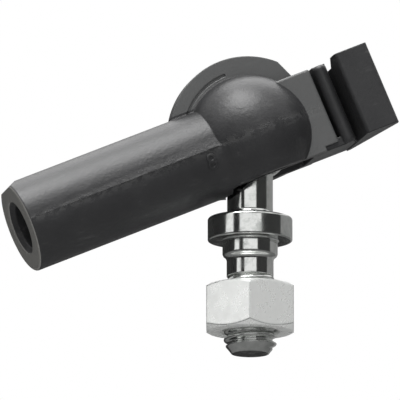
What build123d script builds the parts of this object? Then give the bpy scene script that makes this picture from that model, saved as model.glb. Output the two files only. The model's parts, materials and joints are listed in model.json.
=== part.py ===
from build123d import *
from math import cos, radians, sin, sqrt, tan
import os

# Angle ball joint for an M8 rod, sizes in millimetres.
# The housing and its locking clip are drawn in the socket's own frame: origin at the ball's centre,
# +X along the shank's axis away from its threaded mouth, +Z away from the stud, -Y the front.
# The stud and the nut are drawn hanging straight down from the ball's centre.
# The row's frame has its origin on the stud's axis in the plane of the collar's seat.

# Ball stud, measured down its axis from the ball's centre
ball_radius = 6.5
neck_radius = 3.45
neck_fillet = 1.0
collar_radius = 6.35
collar_top = 12.0
collar_seat = 15.5
collar_chamfer = 0.45
shoulder_radius = 4.15
shoulder_length = 2.5
runout_radius = 3.55
runout_length = 1.4
thread_radius = 3.95
stud_length = 32.6
tip_chamfer = 1.15

# Hex nut
nut_across_flats = 13.0
nut_height = 7.0
nut_top = 22.3
nut_chamfer_angle = 30
nut_chamfer_radius = 6.3
nut_countersink = 0.35
nut_turn = 13.3
hex_first_corner = 30
thread_clearance = 0.05

# Housing
socket_clearance = 0.05
mouth_radius = 5.8
dome_radius = 9.64
floor_drop = 6.3
floor_rim_round = 0.7
floor_setback = 3.24
shank_radius = 6.85
shank_length = 38.1
shank_end_round = 0.4
blend_radius = 4.0
ridge_height = 0.3
ridge_reach = 1.95
ridge_root = 0.3
ridge_near = 5.0
ridge_fade = 2.0
ridge_tail_share = 0.1
parting_step = 0.1
end_flat_height = 6.0
end_flat_length = 1.9
rod_core_radius = 3.4
rod_depth = 24.0
rod_mouth_radius = 4.2
rod_drill_angle = 30
fin_radius = 12.5
fin_thickness = 2.3
fin_end_angle = 48.2
fin_foot = 9.65
fin_foot_fillet = 0.9
fin_groove_radius = 10.25
fin_groove_width = 0.4
fin_groove_depth = 0.25
strap_end = 11.2
strap_top = 6.2
strap_half_width = 5.1
strap_round = 0.35
swing_half_angle = 25.5
swing_gap = 0.15

# Locking clip: a fork under the ball, a round bead across the strap's end and a thumb block
fork_gap = 0.1
fork_half_width = 4.45
fork_height = 1.35
fork_tip = -5.6
fork_crotch = 7.25
fork_crotch_fillet = 0.8
rib_start = 8.1
rib_bottom_half_width = 1.4
rib_top_half_width = 2.1
rib_height = 1.6
window_length = 2.3
window_height = 0.7
bead_radius = 1.05
bead_gap = 0.7
bead_front = 5.25
bead_end_round = 0.63
column_back = -4.4
valley_width = 0.6
valley_depth = 2.6
back_corner_x = 15.2
block_left = 14.6
block_right = 19.8
block_front = 9.0
block_back_corner = (20.15, 7.2)
block_half_height = 6.44
block_round = 0.6
web_top = 5.1
web_slope_start = 4.5
web_slope_end = 6.1

# How the stored joint stands: the stud leans this far from square towards the shank
stud_lean = 23.3

socket_radius = ball_radius + socket_clearance
neck_slot_half_width = neck_radius + swing_gap
nut_bore_radius = thread_radius + thread_clearance
bead_x = strap_end + bead_gap + bead_radius
bead_y = -(bead_front - bead_radius)
fork_bottom = -floor_drop
fork_top = fork_bottom + fork_height
floor_start = dome_radius - floor_setback

# Tool sizes: how far a cut overruns a face, and a length that runs past every piece
overrun = 1.0
reach = shank_length + block_right


def side_prism(points, half_width):
    """A prism from (x, z) points, as deep as half_width to the front and the back."""
    return extrude(Plane.XZ * make_face(Polyline(*points, close=True)), half_width, both=True)


def plan_prism(points, bottom, top):
    """A prism from (x, y) points between two heights."""
    return extrude(Pos(0, 0, bottom) * make_face(Polyline(*points, close=True)), top - bottom)


def block_between(low, high):
    """A box from its lowest to its highest corner."""
    size = [b - a for a, b in zip(low, high)]
    return Pos(*low) * Box(*size, align=(Align.MIN, Align.MIN, Align.MIN))


def ball_stud():
    """The turned stud, revolved from one half outline."""
    ball_foot = sqrt(ball_radius**2 - neck_radius**2)
    shoulder_end = collar_seat + shoulder_length
    thread_start = shoulder_end + runout_length
    tip_radius = thread_radius - tip_chamfer
    outline = [
        (neck_radius, -ball_foot),
        (neck_radius, -collar_top),
        (collar_radius - collar_chamfer, -collar_top),
        (collar_radius, -collar_top - collar_chamfer),
        (collar_radius, -collar_seat + collar_chamfer),
        (collar_radius - collar_chamfer, -collar_seat),
        (shoulder_radius, -collar_seat),
        (shoulder_radius, -shoulder_end),
        (runout_radius, -thread_start),
        (thread_radius, -thread_start - thread_radius + runout_radius),
        (thread_radius, -stud_length + tip_chamfer),
        (tip_radius, -stud_length),
        (0, -stud_length),
        (0, -ball_foot),
    ]
    half = make_face(Polyline(*outline, close=True))
    neck_corner = half.vertices().sort_by_distance((neck_radius, -collar_top))[0]
    half = fillet(neck_corner, neck_fillet)
    shaft = revolve(Plane.XZ * half, Axis.Z)
    return Sphere(ball_radius) + shaft


def hex_nut():
    """The nut, its corners bevelled at both ends and its bore lightly countersunk."""
    hexagon = RegularPolygon(nut_across_flats / 2, 6, major_radius=False, rotation=hex_first_corner)
    body = extrude(hexagon, nut_height)
    corner_radius = nut_across_flats / sqrt(3)
    outer = corner_radius + overrun
    bevel = (outer - nut_chamfer_radius) * tan(radians(nut_chamfer_angle))
    bevelled = [
        (0, 0),
        (nut_chamfer_radius, 0),
        (outer, bevel),
        (outer, nut_height - bevel),
        (nut_chamfer_radius, nut_height),
        (0, nut_height),
    ]
    body &= revolve(Plane.XZ * make_face(Polyline(*bevelled, close=True)), Axis.Z)
    body -= Pos(0, 0, nut_height / 2) * Cylinder(nut_bore_radius, nut_height + 2 * overrun)
    wide = nut_bore_radius + nut_countersink
    sink = Cone(wide, nut_bore_radius, nut_countersink, align=(Align.CENTER, Align.CENTER, Align.MIN))
    body -= sink
    body -= Pos(0, 0, nut_height) * Rot(180, 0, 0) * sink
    return Pos(0, 0, -nut_top - nut_height) * Rot(0, 0, -nut_turn) * body


def shank_bar():
    """The round shank from the ball's centre to its threaded mouth."""
    bar = Rot(0, -90, 0) * Cylinder(shank_radius, shank_length, align=(Align.CENTER, Align.CENTER, Align.MIN))
    mouth_edge = bar.edges().filter_by(GeomType.CIRCLE).sort_by(Axis.X)[0]
    return fillet(mouth_edge, shank_end_round)


def parting_ridge(side, rise, apex_trim):
    """The drafted flank on one side of the mould's parting line, fading towards the mouth."""
    def section(x, share):
        root = shank_radius - ridge_root
        apex = shank_radius + ridge_height * share - apex_trim * share
        points = [(side * root, 0), (side * root, rise * ridge_reach), (side * apex, 0)]
        return Plane(origin=(x, 0, 0), x_dir=(0, 1, 0), z_dir=(1, 0, 0)) * make_face(Polyline(*points, close=True))

    return loft([section(-shank_length + ridge_fade, ridge_tail_share), section(-ridge_near, 1)], ruled=True)


def dome_and_shank():
    """Dome and shank: a sharp junction above the parting line, a soft blend below it."""
    union = Sphere(dome_radius) + shank_bar()
    junction_x = -sqrt(dome_radius**2 - shank_radius**2)
    junction = union.edges().filter_by(GeomType.CIRCLE).sort_by_distance((junction_x, 0, shank_radius))[0]
    blended = fillet(junction, blend_radius)
    upper_half = block_between((-reach, -reach, 0), (reach, reach, reach))
    lower_half = block_between((-reach, -reach, -reach), (reach, reach, 0))
    body = (union & upper_half) + (blended & lower_half)
    for side in (-1, 1):
        body += parting_ridge(side, 1, 0)
        body += parting_ridge(side, -1, parting_step)
    return body


def fin():
    """The flat fin in the middle plane, round about the ball, with its foot on the strap."""
    rim_x = fin_radius * cos(radians(fin_end_angle))
    rim_z = fin_radius * sin(radians(fin_end_angle))
    lean = (fin_foot - rim_x) / (rim_z - strap_top)
    top = fin_radius + overrun
    kept = Polyline(
        (-top, 0), (-top, top), (rim_x - lean * (top - rim_z), top), (fin_foot, strap_top), (fin_foot, 0), close=True
    )
    outline = Circle(fin_radius) & make_face(kept)
    outline += Pos(strap_end / 2, 0) * Rectangle(strap_end, 2 * strap_top)
    foot = outline.vertices().sort_by_distance((fin_foot, strap_top))[0]
    foot_wall = strap_end - fin_foot
    outline = fillet(foot, min(fin_foot_fillet, 0.8 * foot_wall))
    plate = extrude(Plane.XZ * outline, fin_thickness / 2, both=True)
    ring = Circle(fin_groove_radius + fin_groove_width / 2) - Circle(fin_groove_radius - fin_groove_width / 2)
    ring &= Pos(-fin_radius, fin_radius) * Rectangle(2 * fin_radius, 2 * fin_radius)
    groove = extrude(Plane.XZ * ring, fin_thickness, both=True)
    middle = fin_thickness / 2 - fin_groove_depth
    groove -= block_between((-reach, -middle, -reach), (reach, middle, reach))
    return plate - groove


def strap():
    """The square bar that carries the locking clip, beyond the dome."""
    bar = block_between((0, -strap_half_width, -floor_drop), (strap_end, strap_half_width, strap_top))
    end_edges = bar.edges().group_by(Axis.X)[-1]
    top_edges = bar.edges().filter_by(Axis.X).group_by(Axis.Z)[-1]
    return fillet(end_edges + top_edges, strap_round)


def swing_slot():
    """The room that the neck sweeps when the stud swings in the slot."""
    foot = -reach
    spread = -foot * tan(radians(swing_half_angle))
    slot = side_prism([(0, 0), (-spread, foot), (spread, foot)], neck_slot_half_width)
    for angle in (-swing_half_angle, swing_half_angle):
        lane = Cylinder(neck_slot_half_width, reach, align=(Align.CENTER, Align.CENTER, Align.MAX))
        slot += Rot(0, angle, 0) * lane
    return slot


def fork_lane():
    """The lane in the housing's floor that the clip's fork and its guide rib slide in."""
    wall = fork_half_width + fork_gap
    lane = block_between((fork_tip - fork_gap, -wall, -reach), (reach, wall, fork_top + fork_gap))
    guide = dovetail(fork_gap)
    return lane + Pos(rib_start - fork_gap, 0, 0) * guide


def dovetail(grow):
    """The guide rib's section, wider at its top, run along +X from the origin."""
    low = fork_top - fork_gap
    high = fork_top + rib_height + grow
    points = [
        (-rib_bottom_half_width - grow, low),
        (rib_bottom_half_width + grow, low),
        (rib_top_half_width + grow, high),
        (-rib_top_half_width - grow, high),
    ]
    section = Plane(origin=(0, 0, 0), x_dir=(0, 1, 0), z_dir=(1, 0, 0)) * make_face(Polyline(*points, close=True))
    return extrude(section, strap_end + bead_gap + bead_radius - rib_start + (reach if grow else 0))


def housing():
    """The moulded housing: dome, shank, fin and strap less the socket, the bore and the clip's lane."""
    dome = dome_and_shank()
    floor_cut = side_prism(
        [(-floor_start, -floor_drop), (reach, -floor_drop), (reach, -reach), (-floor_start, -reach)], reach
    )
    body = dome - floor_cut
    rim = body.edges().filter_by(GeomType.CIRCLE).group_by(Axis.Z)[0].sort_by(SortBy.LENGTH)[-1]
    body = fillet(rim, floor_rim_round)
    body = body + fin() + strap()
    mouth_x = -shank_length
    flat = [
        (mouth_x - overrun, end_flat_height - (shank_radius - end_flat_height) / end_flat_length * overrun),
        (mouth_x + end_flat_length, shank_radius),
        (mouth_x + end_flat_length, shank_radius + overrun),
        (mouth_x - overrun, shank_radius + overrun),
    ]
    body -= side_prism(flat, shank_radius)
    body -= rod_bore()
    body -= Sphere(socket_radius)
    body -= Cylinder(mouth_radius, reach, align=(Align.CENTER, Align.CENTER, Align.MAX))
    body -= swing_slot()
    body -= fork_lane()
    window_bottom = -floor_drop - overrun
    body -= block_between(
        (strap_end - window_length, -reach, window_bottom), (reach, reach, -floor_drop + window_height)
    )
    return body


def rod_bore():
    """The core of the rod's thread with its countersunk mouth, entering from the shank's end."""
    sink = rod_mouth_radius - rod_core_radius
    outline = [
        (-shank_length - overrun, 0),
        (-shank_length - overrun, rod_mouth_radius + overrun),
        (-shank_length + sink, rod_core_radius),
        (-shank_length + rod_depth, rod_core_radius),
        (-shank_length + rod_depth + rod_core_radius * tan(radians(rod_drill_angle)), 0),
    ]
    return revolve(Plane.XY * make_face(Polyline(*outline, close=True)), Axis.X)


def clip_upright():
    """Bead, column and thumb block, drawn in plan and raised to their heights."""
    column_left = bead_x - bead_radius
    valley_left = block_left - valley_width
    lower = [
        (column_left, bead_y),
        (valley_left, bead_y),
        (valley_left, -valley_depth),
        (block_left, -valley_depth),
        (block_left, -column_back),
        (column_left, -column_back),
    ]
    column = plan_prism(lower, fork_bottom, strap_top)
    hook_points = [
        (block_left, -valley_depth),
        (block_left, -block_front),
        (block_right, -block_front),
        (block_back_corner[0], -block_back_corner[1]),
        (back_corner_x, -column_back),
        (block_left, -column_back),
    ]
    hook = plan_prism(hook_points, -block_half_height, block_half_height)
    corners = [(block_left, -block_front), (block_right, -block_front), (block_back_corner[0], -block_back_corner[1])]
    for x, y in corners:
        edge = hook.edges().filter_by(Axis.Z).sort_by_distance((x, y, 0))[0]
        hook = fillet(edge, block_round)
    notch = Plane(origin=(0, 0, 0), x_dir=(0, -1, 0), z_dir=(-1, 0, 0)) * make_face(
        Polyline(
            (-reach, web_top), (web_slope_start, web_top), (web_slope_end, block_half_height),
            (web_slope_end, reach), (-reach, reach), close=True,
        )
    )
    notch = Pos((valley_left + block_left) / 2, 0, 0) * extrude(notch, -reach)
    bead = Pos(bead_x, bead_y, (fork_bottom + strap_top) / 2) * Cylinder(bead_radius, strap_top - fork_bottom)
    bead = fillet(bead.edges().filter_by(GeomType.CIRCLE), bead_end_round)
    return (column + hook - notch) + bead


def clip_fork():
    """The fork that closes the housing's floor round the neck, with its dovetail guide rib."""
    plate = block_between(
        (fork_tip, -fork_half_width, fork_bottom), (bead_x, fork_half_width, fork_top)
    )
    gap = Pos((fork_crotch - reach) / 2, 0, 0) * Box(fork_crotch + reach, 2 * neck_slot_half_width, reach)
    inner = gap.edges().filter_by(Axis.Z).group_by(Axis.X)[-1]
    plate -= fillet(inner, fork_crotch_fillet)
    ball_room = ball_radius + fork_gap
    plate -= Sphere(ball_room) + Rot(0, -90, 0) * Cylinder(
        ball_room, reach, align=(Align.CENTER, Align.CENTER, Align.MIN)
    )
    return plate + Pos(rib_start, 0, 0) * dovetail(0)


def locking_clip():
    """The clip as one moulding."""
    return clip_upright() + clip_fork()


def main():
    place = Pos(0, 0, collar_seat)
    leaned = place * Rot(0, -stud_lean, 0)
    parts = {
        "housing": leaned * housing(),
        "locking_clip": leaned * locking_clip(),
        "ball_stud": place * ball_stud(),
        "hex_nut": place * hex_nut(),
    }
    os.makedirs("parts", exist_ok=True)
    for name, part in parts.items():
        print(name, len(part.solids()), round(part.volume, 2), part.bounding_box())
        export_step(part, f"parts/{name}.step")


main()
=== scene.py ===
import json
import math

import bmesh
import bpy
from mathutils import Matrix, Vector


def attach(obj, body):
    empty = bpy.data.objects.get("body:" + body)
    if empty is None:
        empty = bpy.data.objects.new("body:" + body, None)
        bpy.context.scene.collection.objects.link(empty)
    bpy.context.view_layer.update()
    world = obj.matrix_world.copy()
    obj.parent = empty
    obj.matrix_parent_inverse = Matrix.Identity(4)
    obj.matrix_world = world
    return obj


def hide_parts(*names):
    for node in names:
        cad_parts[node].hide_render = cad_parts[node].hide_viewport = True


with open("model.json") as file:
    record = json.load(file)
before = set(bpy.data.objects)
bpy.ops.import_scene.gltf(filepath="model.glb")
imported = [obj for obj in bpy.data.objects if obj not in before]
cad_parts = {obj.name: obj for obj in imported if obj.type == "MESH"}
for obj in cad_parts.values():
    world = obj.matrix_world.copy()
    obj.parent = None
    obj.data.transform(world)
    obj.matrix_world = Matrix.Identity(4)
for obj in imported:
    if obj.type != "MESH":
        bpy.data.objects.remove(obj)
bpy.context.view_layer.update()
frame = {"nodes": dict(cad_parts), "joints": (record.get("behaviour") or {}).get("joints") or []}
print("frame loaded:", ", ".join(sorted(frame["nodes"])))

mm = 0.001
swing = next(j for j in frame["joints"] if j["name"] == "stud_swing")
ballCentre = Vector(swing["pos_m"])
slide = next(j for j in frame["joints"] if j["name"] == "clip_slide")
alongShank = Vector(slide["axis"]).normalized()
lean = math.atan2(alongShank.z, alongShank.x)  # how far the shank's axis tilts from level
socketPlace = Matrix.Translation(ballCentre) @ Matrix.Rotation(-lean, 4, "Y")


def newMaterial(name):
    material = bpy.data.materials.new(name)
    material.use_nodes = True
    tree = material.node_tree
    tree.nodes.clear()
    return material, tree


def addNode(tree, kind, values=None, **inputs):
    node = tree.nodes.new(kind)
    for key, value in (values or {}).items():
        setattr(node, key, value)
    for key, value in inputs.items():
        numbered = key[0] == "i" and key[1:].isdigit()
        socket = node.inputs[int(key[1:])] if numbered else node.inputs[key.replace("_", " ")]
        if isinstance(value, bpy.types.NodeSocket):
            tree.links.new(value, socket)
        else:
            socket.default_value = value
    return node


def mathNode(tree, operation, a, b=0.0, c=0.0):
    return addNode(tree, "ShaderNodeMath", {"operation": operation}, i0=a, i1=b, i2=c).outputs[0]


def rampNode(tree, factor, stops):
    node = addNode(tree, "ShaderNodeValToRGB", None, i0=factor)
    ramp = node.color_ramp
    while len(ramp.elements) < len(stops):
        ramp.elements.new(0.5)
    for element, (place, value) in zip(ramp.elements, stops):
        element.position = place
        element.color = (value, value, value, 1)
    return node.outputs[0]


def mixColours(tree, factor, first, second):
    return addNode(tree, "ShaderNodeMix", {"data_type": "RGBA"}, i0=factor, i6=first, i7=second).outputs[2]


def linkPiece(name, mesh, body, material):
    piece = bpy.data.objects.new(name, mesh)
    bpy.context.scene.collection.objects.link(piece)
    mesh.materials.clear()
    mesh.materials.append(material)
    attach(piece, body)
    return piece


def dress(node, material):
    mesh = frame["nodes"][node].data
    mesh.materials.clear()
    mesh.materials.append(material)


# Black moulded plastic: a satin skin with soft waves, fine grain, light scuffs and rounded edges.
# Lengths here and in the steel are in metres.
plastic = {
    "tone": (0.012, 0.0122, 0.013, 1),
    "tonePatch": (0.024, 0.024, 0.025, 1),
    # painted sheen: the lighter grey of the fin's and the strap's flat faces
    "flatPaintedSheen": (0.062, 0.063, 0.063, 1),
    "scuff": (0.10, 0.10, 0.098, 1),
    "domeRadius": 0.00975,
    "shankRadius": 0.0072,
    "roughness": (0.34, 0.5),
    "streakScale": 1100.0,
    "streakStretch": (0.25, 1.0, 1.0),
    "scuffStops": [(0.0, 0.0), (0.58, 0.0), (0.75, 0.5), (1.0, 0.8)],
    "patchStops": [(0.0, 0.0), (0.45, 0.1), (0.65, 1.0), (1.0, 1.0)],
    "grainScale": 1700.0,
    "grainDepth": 0.00005,
    "mouthEnd": -0.03795,
    # painted light: the pale grey of the shank's end face
    "mouthPaintedLight": (0.15, 0.148, 0.14, 1),
    "waveScale": 170.0,
    "waveDepth": 0.00007,
    "edgeRound": 0.00028,
    "lineHalf": 0.0011,
    "pitScale": 900.0,
    "pitStops": [(0.0, 1.0), (0.47, 0.9), (0.54, 0.0), (1.0, 0.0)],
    "pitHeight": 0.8,
    "pitWear": 0.22,
}


def plasticMaterial(name, seed, partingLine):
    material, tree = newMaterial(name)
    place = addNode(tree, "ShaderNodeTexCoord").outputs["Object"]
    # the socket's own frame, so that marks follow the shank and the parting plane
    own = addNode(tree, "ShaderNodeMapping", {"vector_type": "TEXTURE"}, Vector=place,
                  Location=ballCentre, Rotation=(0, -lean, 0)).outputs[0]
    moved = addNode(tree, "ShaderNodeMapping", None, Vector=own, Location=(seed, seed * 0.7, 0)).outputs[0]
    patch = addNode(tree, "ShaderNodeTexNoise", None, Vector=moved, Scale=plastic["waveScale"], Detail=4.0,
                    Roughness=0.6).outputs["Fac"]
    grain = addNode(tree, "ShaderNodeTexNoise", None, Vector=moved, Scale=plastic["grainScale"], Detail=3.0,
                    Roughness=0.6).outputs["Fac"]
    drawn = addNode(tree, "ShaderNodeMapping", None, Vector=moved, Scale=plastic["streakStretch"]).outputs[0]
    streaks = addNode(tree, "ShaderNodeTexNoise", None, Vector=drawn, Scale=plastic["streakScale"],
                      Detail=5.0, Roughness=0.7).outputs["Fac"]
    scuffs = rampNode(tree, streaks, plastic["scuffStops"])
    worn = mathNode(tree, "MULTIPLY", scuffs, rampNode(tree, patch, plastic["patchStops"]))
    body = mixColours(tree, patch, plastic["tone"], plastic["tonePatch"])
    height = patch
    if partingLine:
        # pits along the plane where the mould's halves met
        parts = addNode(tree, "ShaderNodeSeparateXYZ", None, i0=own).outputs
        off = mathNode(tree, "DIVIDE", mathNode(tree, "ABSOLUTE", parts[2]), plastic["lineHalf"])
        near = mathNode(tree, "SUBTRACT", 1.0, mathNode(tree, "MINIMUM", off, 1.0))
        pits = addNode(tree, "ShaderNodeTexNoise", None, Vector=moved, Scale=plastic["pitScale"], Detail=4.0,
                       Roughness=0.75).outputs["Fac"]
        dents = rampNode(tree, pits, plastic["pitStops"])
        marks = mathNode(tree, "MULTIPLY", near, dents)
        height = mathNode(tree, "SUBTRACT", patch, mathNode(tree, "MULTIPLY", marks, plastic["pitHeight"]))
        worn = mathNode(tree, "MAXIMUM", worn, mathNode(tree, "MULTIPLY", marks, plastic["pitWear"]))
        # the fin's and the strap's flat faces are painted greyer than the dome and the shank: a painted
        # sheen standing in for the light those flat faces catch
        away = addNode(tree, "ShaderNodeVectorMath", {"operation": "LENGTH"}, i0=own).outputs["Value"]
        outside = mathNode(tree, "GREATER_THAN", away, plastic["domeRadius"])
        above = mathNode(tree, "GREATER_THAN", parts[2], plastic["shankRadius"])
        beyond = mathNode(tree, "MAXIMUM", above, mathNode(tree, "GREATER_THAN", parts[0], 0.0))
        body = mixColours(tree, mathNode(tree, "MULTIPLY", outside, beyond), body, plastic["flatPaintedSheen"])
        # the end of the shank is painted as the palest face: painted light for the light that end face
        # catches
        atMouth = mathNode(tree, "LESS_THAN", parts[0], plastic["mouthEnd"])
        body = mixColours(tree, atMouth, body, plastic["mouthPaintedLight"])
    tone = mixColours(tree, worn, body, plastic["scuff"])
    low, high = plastic["roughness"]
    rough = addNode(tree, "ShaderNodeMapRange", None, Value=patch, To_Min=low, To_Max=high).outputs[0]
    rounded = addNode(tree, "ShaderNodeBevel", {"samples": 6}, Radius=plastic["edgeRound"]).outputs[0]
    waves = addNode(tree, "ShaderNodeBump", None, Height=height, Distance=plastic["waveDepth"], Strength=0.6,
                    Normal=rounded).outputs[0]
    skin = addNode(tree, "ShaderNodeBump", None, Height=grain, Distance=plastic["grainDepth"], Strength=0.9,
                   Normal=waves).outputs[0]
    shader = addNode(tree, "ShaderNodeBsdfPrincipled", None, Base_Color=tone, Roughness=rough, IOR=1.5,
                     Normal=skin)
    addNode(tree, "ShaderNodeOutputMaterial", None, Surface=shader.outputs[0])
    return material


# Zinc-plated steel: turned rings on the stud, upright streaks on the nut's faces.
steel = {
    "tone": (0.76, 0.77, 0.755, 1),
    "toneDull": (0.55, 0.57, 0.55, 1),
    "toneEdge": (0.42, 0.44, 0.43, 1),
    "turnScale": 5200.0,
    "turnDepth": 0.000014,
    "spotScale": 520.0,
    "spotStops": [(0.0, 0.0), (0.45, 0.15), (0.62, 1.0), (1.0, 1.0)],
    "edgeRound": 0.00035,
    "edgeSpan": (0.02, 0.09),
}


def steelMaterial(name, stretch, low, high, metal, dull, edgeShade):
    material, tree = newMaterial(name)
    place = addNode(tree, "ShaderNodeTexCoord").outputs["Object"]
    spots = addNode(tree, "ShaderNodeTexNoise", None, Vector=place, Scale=steel["spotScale"], Detail=6.0,
                    Roughness=0.7).outputs["Fac"]
    blotch = rampNode(tree, spots, steel["spotStops"])
    drawn = addNode(tree, "ShaderNodeMapping", None, Vector=place, Scale=stretch).outputs[0]
    marks = addNode(tree, "ShaderNodeTexNoise", None, Vector=drawn, Scale=steel["turnScale"],
                    Detail=2.0).outputs["Fac"]
    tone = mixColours(tree, mathNode(tree, "MULTIPLY", blotch, dull), steel["tone"], steel["toneDull"])
    rough = addNode(tree, "ShaderNodeMapRange", None, Value=blotch, To_Min=low, To_Max=high).outputs[0]
    rounded = addNode(tree, "ShaderNodeBevel", {"samples": 12}, Radius=steel["edgeRound"]).outputs[0]
    # where the rounded normal leaves the face's own, the plating is darker and more mirror-like
    flat = addNode(tree, "ShaderNodeNewGeometry").outputs["True Normal"]
    agree = addNode(tree, "ShaderNodeVectorMath", {"operation": "DOT_PRODUCT"}, i0=rounded, i1=flat)
    turned = mathNode(tree, "SUBTRACT", 1.0, agree.outputs["Value"])
    nearest, farthest = steel["edgeSpan"]
    edge = addNode(tree, "ShaderNodeMapRange", None, Value=turned, From_Min=nearest, From_Max=farthest,
                   To_Max=edgeShade).outputs[0]
    tone = mixColours(tree, edge, tone, steel["toneEdge"])
    plating = addNode(tree, "ShaderNodeMapRange", None, Value=edge, To_Min=metal, To_Max=1.0).outputs[0]
    skin = addNode(tree, "ShaderNodeBump", None, Height=marks, Distance=steel["turnDepth"], Strength=0.4,
                   Normal=rounded).outputs[0]
    shader = addNode(tree, "ShaderNodeBsdfPrincipled", None, Base_Color=tone, Metallic=plating,
                     Roughness=rough, Normal=skin)
    addNode(tree, "ShaderNodeOutputMaterial", None, Surface=shader.outputs[0])
    return material


housingPlastic = plasticMaterial("housingPlastic", seed=0.0, partingLine=True)
clipPlastic = plasticMaterial("clipPlastic", seed=3.1, partingLine=False)
studSteel = steelMaterial("studSteel", stretch=(0.02, 0.02, 1.0), low=0.08, high=0.22, metal=1.0, dull=0.8,
                          edgeShade=0.0)
nutSteel = steelMaterial("nutSteel", stretch=(1.0, 1.0, 0.05), low=0.26, high=0.34, metal=0.5, dull=0.12,
                         edgeShade=0.9)
dress("housing", housingPlastic)
dress("locking_clip", clipPlastic)
dress("hex_nut", nutSteel)
print("materials made")


# The stud, turned as one piece down to where its thread starts. Lengths are in millimetres, and
# heights are measured down from the ball's centre.
stud = {
    "ball": 6.5,
    "neck": 3.42,
    "neckFillet": 1.0,
    "collarTop": 12.0,
    "collar": 6.33,
    "collarSeat": 15.5,
    "edge": 0.2,
    "shoulder": 4.13,
    "shoulderEnd": 17.9,
    "shoulderEdge": 0.35,
    "runout": 3.5,
    "runoutRound": 0.9,
    "runoutDrop": 0.75,
    "threadTop": 20.9,
    "tip": 32.6,
    "turns": 96,
    "sharpFrom": 35,
}


def arcPoints(centreRadius, centreHeight, size, start, end, steps):
    points = []
    for step in range(steps + 1):
        angle = math.radians(start + (end - start) * step / steps)
        points.append((centreRadius + size * math.cos(angle), centreHeight - size * math.sin(angle)))
    return points


def studOutline():
    neckAngle = math.degrees(math.acos(stud["neck"] / stud["ball"]))
    outline = arcPoints(0, 0, stud["ball"], 90, -neckAngle, 40)[1:]
    fillet = stud["neckFillet"]
    outline += arcPoints(stud["neck"] + fillet, stud["collarTop"] - fillet, fillet, 180, 270, 8)
    edge, wide = stud["edge"], stud["collar"]
    outline += arcPoints(wide - 2 * edge, stud["collarTop"] + 2 * edge, 2 * edge, 90, 0, 6)
    outline += arcPoints(wide - edge, stud["collarSeat"] - edge, edge, 0, -90, 4)
    shoulder, end, hollow = stud["shoulder"], stud["shoulderEnd"], stud["runoutRound"]
    outline += [(shoulder, stud["collarSeat"]), (shoulder, end - stud["shoulderEdge"])]
    outline += arcPoints(stud["runout"] + hollow, end + stud["runoutDrop"], hollow, 118, 180, 8)
    outline += [(stud["runout"], stud["threadTop"])]
    return outline


def guarded(outline, margin=0.05, longest=0.5):
    # a point just inside each end of a long straight stretch keeps smooth shading from spreading over it
    points = [outline[0]]
    for start, end in zip(outline, outline[1:]):
        length = math.dist(start, end)
        if length > longest:
            for share in (margin / length, 1 - margin / length):
                points.append(tuple(a + (b - a) * share for a, b in zip(start, end)))
        points.append(end)
    return points


def turnedStud():
    shape = bmesh.new()
    rings = []
    for radius, drop in guarded(studOutline()):
        ring = []
        for turn in range(stud["turns"]):
            angle = 2 * math.pi * turn / stud["turns"]
            spot = (radius * math.cos(angle) * mm, radius * math.sin(angle) * mm, ballCentre.z - drop * mm)
            ring.append(shape.verts.new(spot))
        rings.append(ring)
    for upper, lower in zip(rings, rings[1:]):
        for turn in range(stud["turns"]):
            following = (turn + 1) % stud["turns"]
            shape.faces.new((upper[turn], lower[turn], lower[following], upper[following]))
    shape.faces.new(rings[0])
    shape.faces.new(rings[-1])
    bmesh.ops.recalc_face_normals(shape, faces=shape.faces)
    mesh = bpy.data.meshes.new("turnedStud")
    shape.to_mesh(mesh)
    shape.free()
    mesh.shade_smooth()
    mesh.set_sharp_from_angle(angle=math.radians(stud["sharpFrom"]))
    return mesh


# The rolled thread, in millimetres: a grid wrapped round the stud, its radius a wave along a helix.
thread = {
    "pitch": 1.25,
    "crest": 3.93,
    "root": 3.32,
    "flank": (0.12, 0.88),
    "fade": 1.3,
    "startDepth": 0.25,
    "tipRadius": 2.8,
    "tipSlope": 0.8,
    "around": 128,
    "rows": 220,
    "seam": 0.000002,
    "sharpFrom": 50,
}


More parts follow.
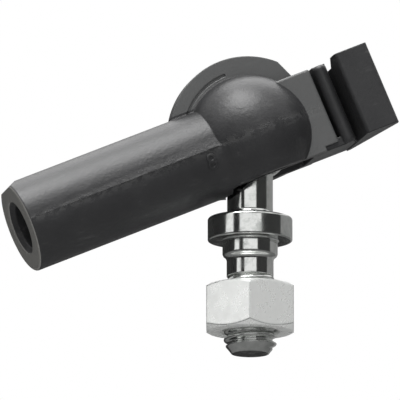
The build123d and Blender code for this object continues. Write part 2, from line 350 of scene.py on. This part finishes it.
def threadTree():
    tree = bpy.data.node_groups.new("rolledThread", "GeometryNodeTree")
    sockets = tree.interface
    sockets.new_socket("Geometry", in_out="OUTPUT", socket_type="NodeSocketGeometry")
    for name in ("Top", "Bottom", "Pitch", "Crest", "Root", "Start", "Fade", "Tip"):
        sockets.new_socket(name, in_out="INPUT", socket_type="NodeSocketFloat")
    sockets.new_socket("Material", in_out="INPUT", socket_type="NodeSocketMaterial")
    given = tree.nodes.new("NodeGroupInput").outputs
    grid = addNode(tree, "GeometryNodeMeshGrid", None, Size_X=1.0, Size_Y=1.0, Vertices_X=thread["around"],
                   Vertices_Y=thread["rows"])
    position = addNode(tree, "GeometryNodeInputPosition")
    spot = addNode(tree, "ShaderNodeSeparateXYZ", None, i0=position.outputs[0])
    share = mathNode(tree, "ADD", spot.outputs[0], 0.5)
    along = mathNode(tree, "ADD", spot.outputs[1], 0.5)
    angle = mathNode(tree, "MULTIPLY", share, 2 * math.pi)
    length = mathNode(tree, "SUBTRACT", given["Top"], given["Bottom"])
    height = mathNode(tree, "MULTIPLY_ADD", along, length, given["Bottom"])
    # a right-hand helix: the phase grows with the height and falls with the angle
    phase = mathNode(tree, "SUBTRACT", mathNode(tree, "DIVIDE", height, given["Pitch"]), share)
    wave = mathNode(tree, "PINGPONG", mathNode(tree, "MULTIPLY", phase, 2.0), 1.0)
    foot, head = thread["flank"]
    flank = addNode(tree, "ShaderNodeMapRange", {"interpolation_type": "SMOOTHSTEP"}, Value=wave,
                    From_Min=foot, From_Max=head).outputs[0]
    below = mathNode(tree, "SUBTRACT", given["Start"], height)
    grown = addNode(tree, "ShaderNodeMapRange", None, Value=mathNode(tree, "DIVIDE", below, given["Fade"]),
                    To_Min=thread["startDepth"]).outputs[0]
    deep = mathNode(tree, "MULTIPLY", mathNode(tree, "SUBTRACT", given["Crest"], given["Root"]), grown)
    full = mathNode(tree, "MULTIPLY_ADD", flank, deep, given["Root"])
    # the lead chamfer at the tip cuts the crests down on a cone
    risen = mathNode(tree, "SUBTRACT", height, given["Bottom"])
    room = mathNode(tree, "MULTIPLY_ADD", risen, thread["tipSlope"], given["Tip"])
    radius = mathNode(tree, "MINIMUM", full, room)
    across = mathNode(tree, "MULTIPLY", radius, mathNode(tree, "COSINE", angle))
    deeper = mathNode(tree, "MULTIPLY", radius, mathNode(tree, "SINE", angle))
    place = addNode(tree, "ShaderNodeCombineXYZ", None, i0=across, i1=deeper, i2=height).outputs[0]
    moved = addNode(tree, "GeometryNodeSetPosition", None, Geometry=grid.outputs[0], Position=place)
    closed = addNode(tree, "GeometryNodeMergeByDistance", None, Geometry=moved.outputs[0],
                     Distance=thread["seam"])
    real = addNode(tree, "GeometryNodeRealizeInstances", None, Geometry=closed.outputs[0])
    dressed = addNode(tree, "GeometryNodeSetMaterial", None, Geometry=real.outputs[0],
                      Material=given["Material"])
    tree.links.new(dressed.outputs[0], tree.nodes.new("NodeGroupOutput").inputs[0])
    return tree


def rolledThread():
    tree = threadTree()
    carrier = bpy.data.objects.new("threadMaker", bpy.data.meshes.new("threadMaker"))
    bpy.context.scene.collection.objects.link(carrier)
    maker = carrier.modifiers.new("rolledThread", "NODES")
    maker.node_group = tree
    top = ballCentre.z - stud["threadTop"] * mm
    settings = {
        "Top": top,
        "Bottom": ballCentre.z - stud["tip"] * mm,
        "Pitch": thread["pitch"] * mm,
        "Crest": thread["crest"] * mm,
        "Root": thread["root"] * mm,
        "Start": top,
        "Fade": thread["fade"] * mm,
        "Tip": thread["tipRadius"] * mm,
        "Material": studSteel,
    }
    for item in tree.interface.items_tree:
        if item.in_out == "INPUT":
            maker[item.identifier] = settings[item.name]
    bpy.context.view_layer.update()
    evaluated = carrier.evaluated_get(bpy.context.evaluated_depsgraph_get())
    mesh = bpy.data.meshes.new_from_object(evaluated)
    bpy.data.objects.remove(carrier)
    shape = bmesh.new()
    shape.from_mesh(mesh)
    bmesh.ops.holes_fill(shape, edges=[edge for edge in shape.edges if edge.is_boundary])
    bmesh.ops.recalc_face_normals(shape, faces=shape.faces)
    shape.to_mesh(mesh)
    shape.free()
    mesh.shade_smooth()
    mesh.set_sharp_from_angle(angle=math.radians(thread["sharpFrom"]))
    return mesh


studPiece = linkPiece("studBody", turnedStud(), "stud", studSteel)
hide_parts("ball_stud")
linkPiece("studThread", rolledThread(), "stud", studSteel)
print("stud and thread made")


# A plain raised numeral on the shank's front, below the parting line, in millimetres.
numeral = {
    "text": "8",
    "height": 3.3,
    "halfDepth": 0.26,
    "edgeRound": 0.065,
    "sink": 0.156,
    "shank": 6.85,
    "along": -8.7,
    "below": -1.9,
}


def raisedNumeral():
    letters = bpy.data.curves.new("numeralOutline", "FONT")
    letters.body = numeral["text"]
    letters.size = numeral["height"]
    letters.align_x = "CENTER"
    letters.align_y = "CENTER"
    letters.extrude = numeral["halfDepth"]
    letters.bevel_depth = numeral["edgeRound"]
    maker = bpy.data.objects.new("numeralMaker", letters)
    bpy.context.scene.collection.objects.link(maker)
    bpy.context.view_layer.update()
    evaluated = maker.evaluated_get(bpy.context.evaluated_depsgraph_get())
    mesh = bpy.data.meshes.new_from_object(evaluated)
    bpy.data.objects.remove(maker)
    for vertex in mesh.vertices:
        across, up, out = vertex.co
        radius = numeral["shank"] + out - numeral["sink"]
        angle = (numeral["below"] + up) / numeral["shank"]
        spot = Vector((numeral["along"] + across, -radius * math.cos(angle), radius * math.sin(angle)))
        vertex.co = socketPlace @ (spot * mm)
    mesh.update()
    return mesh


linkPiece("sizeNumeral", raisedNumeral(), "socket", housingPlastic)
print("numeral made")


# The floor, the camera and the room, in metres and degrees. An azimuth of 0 looks from the front.
stage = {
    "floorDrop": 0.42,
    "floorSize": 6.0,
    "floorTone": (0.85, 0.85, 0.85, 1),
    "azimuth": -12.7,
    "elevation": -11.6,
    "distance": 1.4,
    "fieldWidth": 0.0598,
    "aimAcross": -0.00747,
    "aimUp": -0.00904,
    "sensor": 36.0,
    "clipEnd": 20.0,
    "roomStops": [(0.0, 0.5), (0.45, 0.3), (0.55, 0.2), (0.72, 0.4), (1.0, 0.8)],
}
# Each lamp's azimuth, elevation, distance, width, height and radiance, and whether reflections show it.
lamps = {
    "keyBox": (-40, 64, 0.6, 0.42, 0.42, 9.0, True),
    "backTopBox": (170, 62, 0.7, 0.6, 0.4, 2.5, True),
    "fillBox": (4, -6, 0.8, 0.6, 0.6, 3.2, False),
}


def addFloor():
    bpy.ops.mesh.primitive_plane_add(size=stage["floorSize"], location=(0, 0, -stage["floorDrop"]))
    floor = bpy.context.object
    floor.name = "studioFloor"
    material, tree = newMaterial("paleFloor")
    shader = addNode(tree, "ShaderNodeBsdfPrincipled", None, Base_Color=stage["floorTone"], Roughness=0.9)
    addNode(tree, "ShaderNodeOutputMaterial", None, Surface=shader.outputs[0])
    floor.data.materials.append(material)
    floor.visible_camera = False


def aim(thing, spot, target):
    thing.location = spot
    thing.rotation_mode = "QUATERNION"
    thing.rotation_quaternion = (Vector(target) - Vector(spot)).to_track_quat("-Z", "Y")


def around(azimuth, elevation, distance):
    turn, rise = math.radians(azimuth), math.radians(elevation)
    flat = math.cos(rise)
    return ballCentre + Vector((math.sin(turn) * flat, -math.cos(turn) * flat, math.sin(rise))) * distance


def softbox(name, azimuth, elevation, distance, width, height, radiance, shines):
    lamp = bpy.data.lights.new(name, "AREA")
    lamp.shape = "RECTANGLE"
    lamp.size, lamp.size_y = width, height
    lamp.energy = radiance * math.pi * width * height  # a lamp's power for that radiance
    box = bpy.data.objects.new(name, lamp)
    bpy.context.scene.collection.objects.link(box)
    box.visible_glossy = shines
    aim(box, around(azimuth, elevation, distance), ballCentre)


# Grey flags round the part, seen only in its reflections: two azimuths, two heights and a grey for each.
# The heights are shares of the distance.
flags = {
    "leftFlag": (-195, -84, -0.35, 0.55, 0.035),
    "slimFlag": (-59, -41, -0.2, 0.5, 0.03),
    "rightFlag": (18, 79, -0.35, 0.5, 0.045),
    "backFlag": (79, 165, -0.35, 0.5, 0.30),
    "highFlag": (-41, 18, 0.33, 0.62, 0.04),
    "frontLowFlag": (-84, 18, -0.33, 0.03, 0.03),
}
flagRing = {"distance": 0.85, "stepDegrees": 6, "floorGrey": 0.16, "floorDrop": 0.24, "floorSides": 48}


def hideFromAllButShine(flag):
    flag.visible_camera = False
    flag.visible_diffuse = False
    flag.visible_shadow = False


def greyMaterial(name, grey):
    material, tree = newMaterial(name)
    shader = addNode(tree, "ShaderNodeBsdfDiffuse", None, Color=(grey, grey, grey, 1))
    addNode(tree, "ShaderNodeOutputMaterial", None, Surface=shader.outputs[0])
    return material


def addFlag(name, start, end, low, high, grey):
    steps = int((end - start) / flagRing["stepDegrees"])
    points = []
    for step in range(steps + 1):
        angle = math.radians(start + (end - start) * step / steps)
        for height in (low, high):
            reach = Vector((math.sin(angle), -math.cos(angle), height))
            points.append(ballCentre + reach * flagRing["distance"])
    faces = [(2 * step, 2 * step + 2, 2 * step + 3, 2 * step + 1) for step in range(steps)]
    mesh = bpy.data.meshes.new(name)
    mesh.from_pydata(points, [], faces)
    mesh.materials.append(greyMaterial(name, grey))
    flag = bpy.data.objects.new(name, mesh)
    bpy.context.scene.collection.objects.link(flag)
    hideFromAllButShine(flag)


def addFloorFlag():
    bpy.ops.mesh.primitive_circle_add(vertices=flagRing["floorSides"], radius=flagRing["distance"],
                                      fill_type="NGON", location=(0, 0, -flagRing["floorDrop"]))
    flag = bpy.context.object
    flag.name = "floorFlag"
    flag.data.materials.append(greyMaterial("floorFlag", flagRing["floorGrey"]))
    hideFromAllButShine(flag)


def makeWorld():
    world = bpy.data.worlds.new("studioWorld")
    bpy.context.scene.world = world
    world.use_nodes = True
    tree = world.node_tree
    tree.nodes.clear()
    direction = addNode(tree, "ShaderNodeTexCoord").outputs["Generated"]
    height = addNode(tree, "ShaderNodeSeparateXYZ", None, i0=direction).outputs[2]
    rise = addNode(tree, "ShaderNodeMapRange", None, Value=height, From_Min=-1.0, From_Max=1.0).outputs[0]
    room = rampNode(tree, rise, stage["roomStops"])
    path = addNode(tree, "ShaderNodeLightPath").outputs
    seen = mathNode(tree, "MAXIMUM", path["Is Camera Ray"], path["Is Glossy Ray"])
    seen = mathNode(tree, "MAXIMUM", seen, path["Is Transmission Ray"])
    white = mixColours(tree, seen, room, (1, 1, 1, 1))
    sky = addNode(tree, "ShaderNodeBackground", None, Color=white, Strength=1.0)
    addNode(tree, "ShaderNodeOutputWorld", None, Surface=sky.outputs[0])


def makeCamera():
    data = bpy.data.cameras.new("studioCamera")
    camera = bpy.data.objects.new("studioCamera", data)
    bpy.context.scene.collection.objects.link(camera)
    data.sensor_width = stage["sensor"]
    data.lens = stage["sensor"] * stage["distance"] / stage["fieldWidth"]
    spot = around(stage["azimuth"], stage["elevation"], stage["distance"])
    aim(camera, spot, ballCentre)
    turn = camera.rotation_quaternion.to_matrix()
    camera.location = spot + turn @ Vector((stage["aimAcross"], stage["aimUp"], 0))
    data.clip_end = stage["clipEnd"]
    bpy.context.scene.camera = camera


addFloor()
for flagName, span in flags.items():
    addFlag(flagName, *span)
addFloorFlag()
for lampName, settings in lamps.items():
    softbox(lampName, *settings)
makeWorld()
makeCamera()
bpy.context.scene.view_settings.view_transform = "Standard"
print("stage made")
